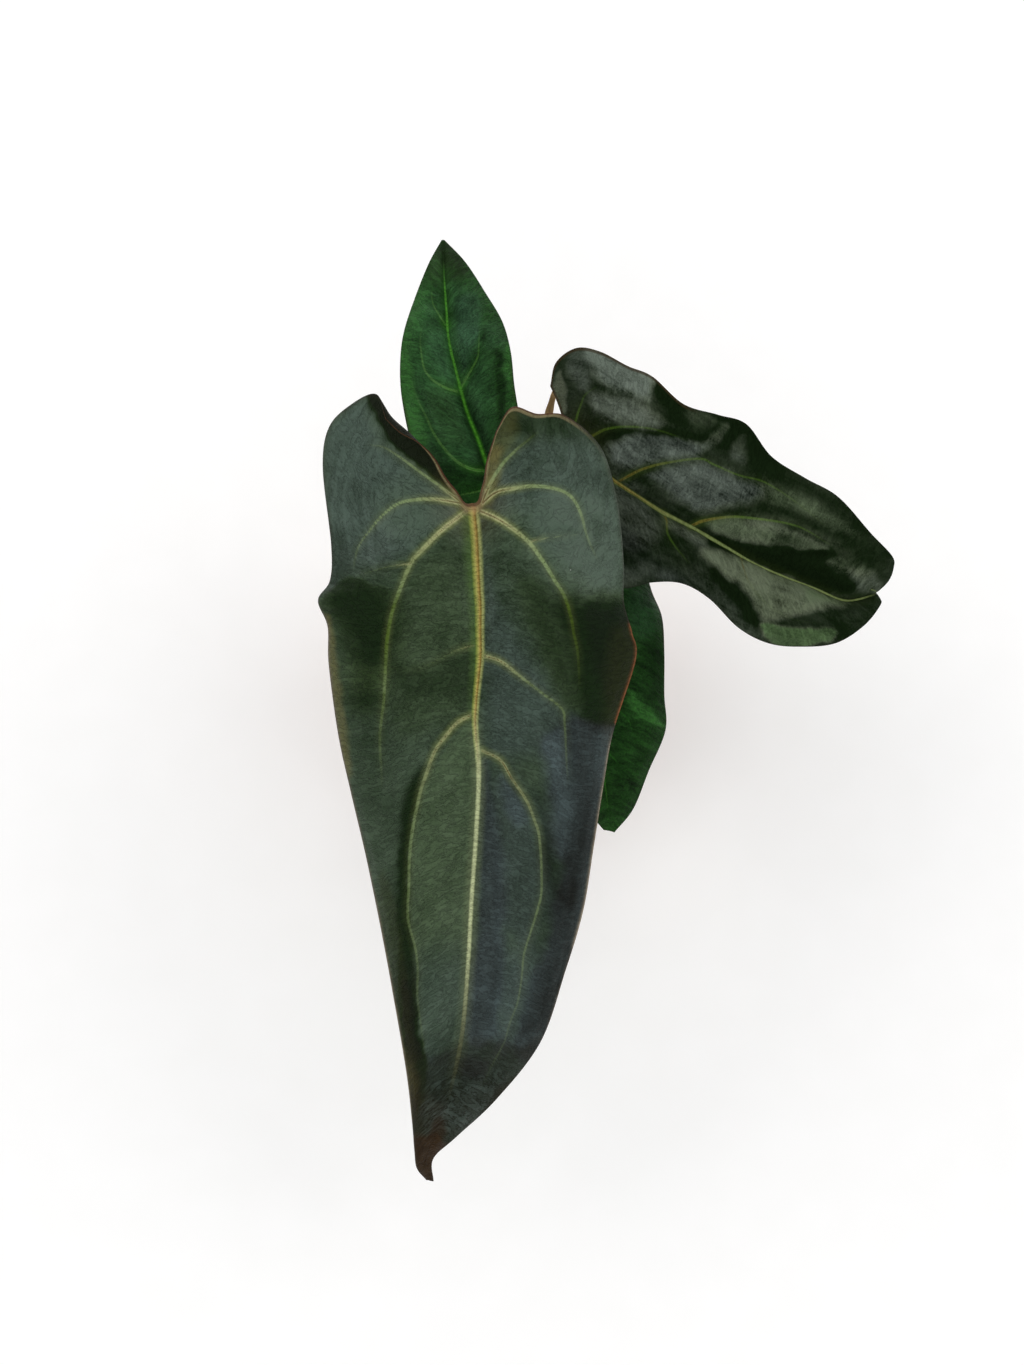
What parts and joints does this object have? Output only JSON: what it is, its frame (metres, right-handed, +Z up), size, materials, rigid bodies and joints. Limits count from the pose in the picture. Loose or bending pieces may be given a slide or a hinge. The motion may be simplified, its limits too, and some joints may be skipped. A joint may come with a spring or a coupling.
{
  "type": "potted anthurium hybrid",
  "caption": "Aroid house plant with long heart-shaped leaves that arch out over a plain clay pot filled with bark mix; it stands on the pot's flat base.",
  "frame": {"origin": "middle of the flat underside of the pot", "axes": "+Z up along the pot's axis; the large front leaf hangs towards -Y, the dark side leaf reaches towards +X"},
  "size_m": [0.2712, 0.4334, 0.2822],
  "materials": {
    "terracotta": "matte",
    "bark_mix": "matte",
    "stem": "matte",
    "husk": "matte",
    "petiole": "satin",
    "leaf_mature": "satin",
    "leaf_young": "satin",
    "leaf_dark": "gloss",
    "leaf_shaded": "satin"
  },
  "bodies": {
    "root": {"pot": "terracotta", "potting_mix": "bark_mix", "stem": "stem", "husk_long": "husk", "husk_side": "husk", "husk_rear": "husk", "petiole_front": "petiole", "petiole_back": "petiole", "petiole_right": "petiole", "petiole_low": "petiole", "blade_front": "leaf_mature", "blade_back": "leaf_young", "blade_right": "leaf_dark", "blade_low": "leaf_shaded"}
  },
  "joints": []
}
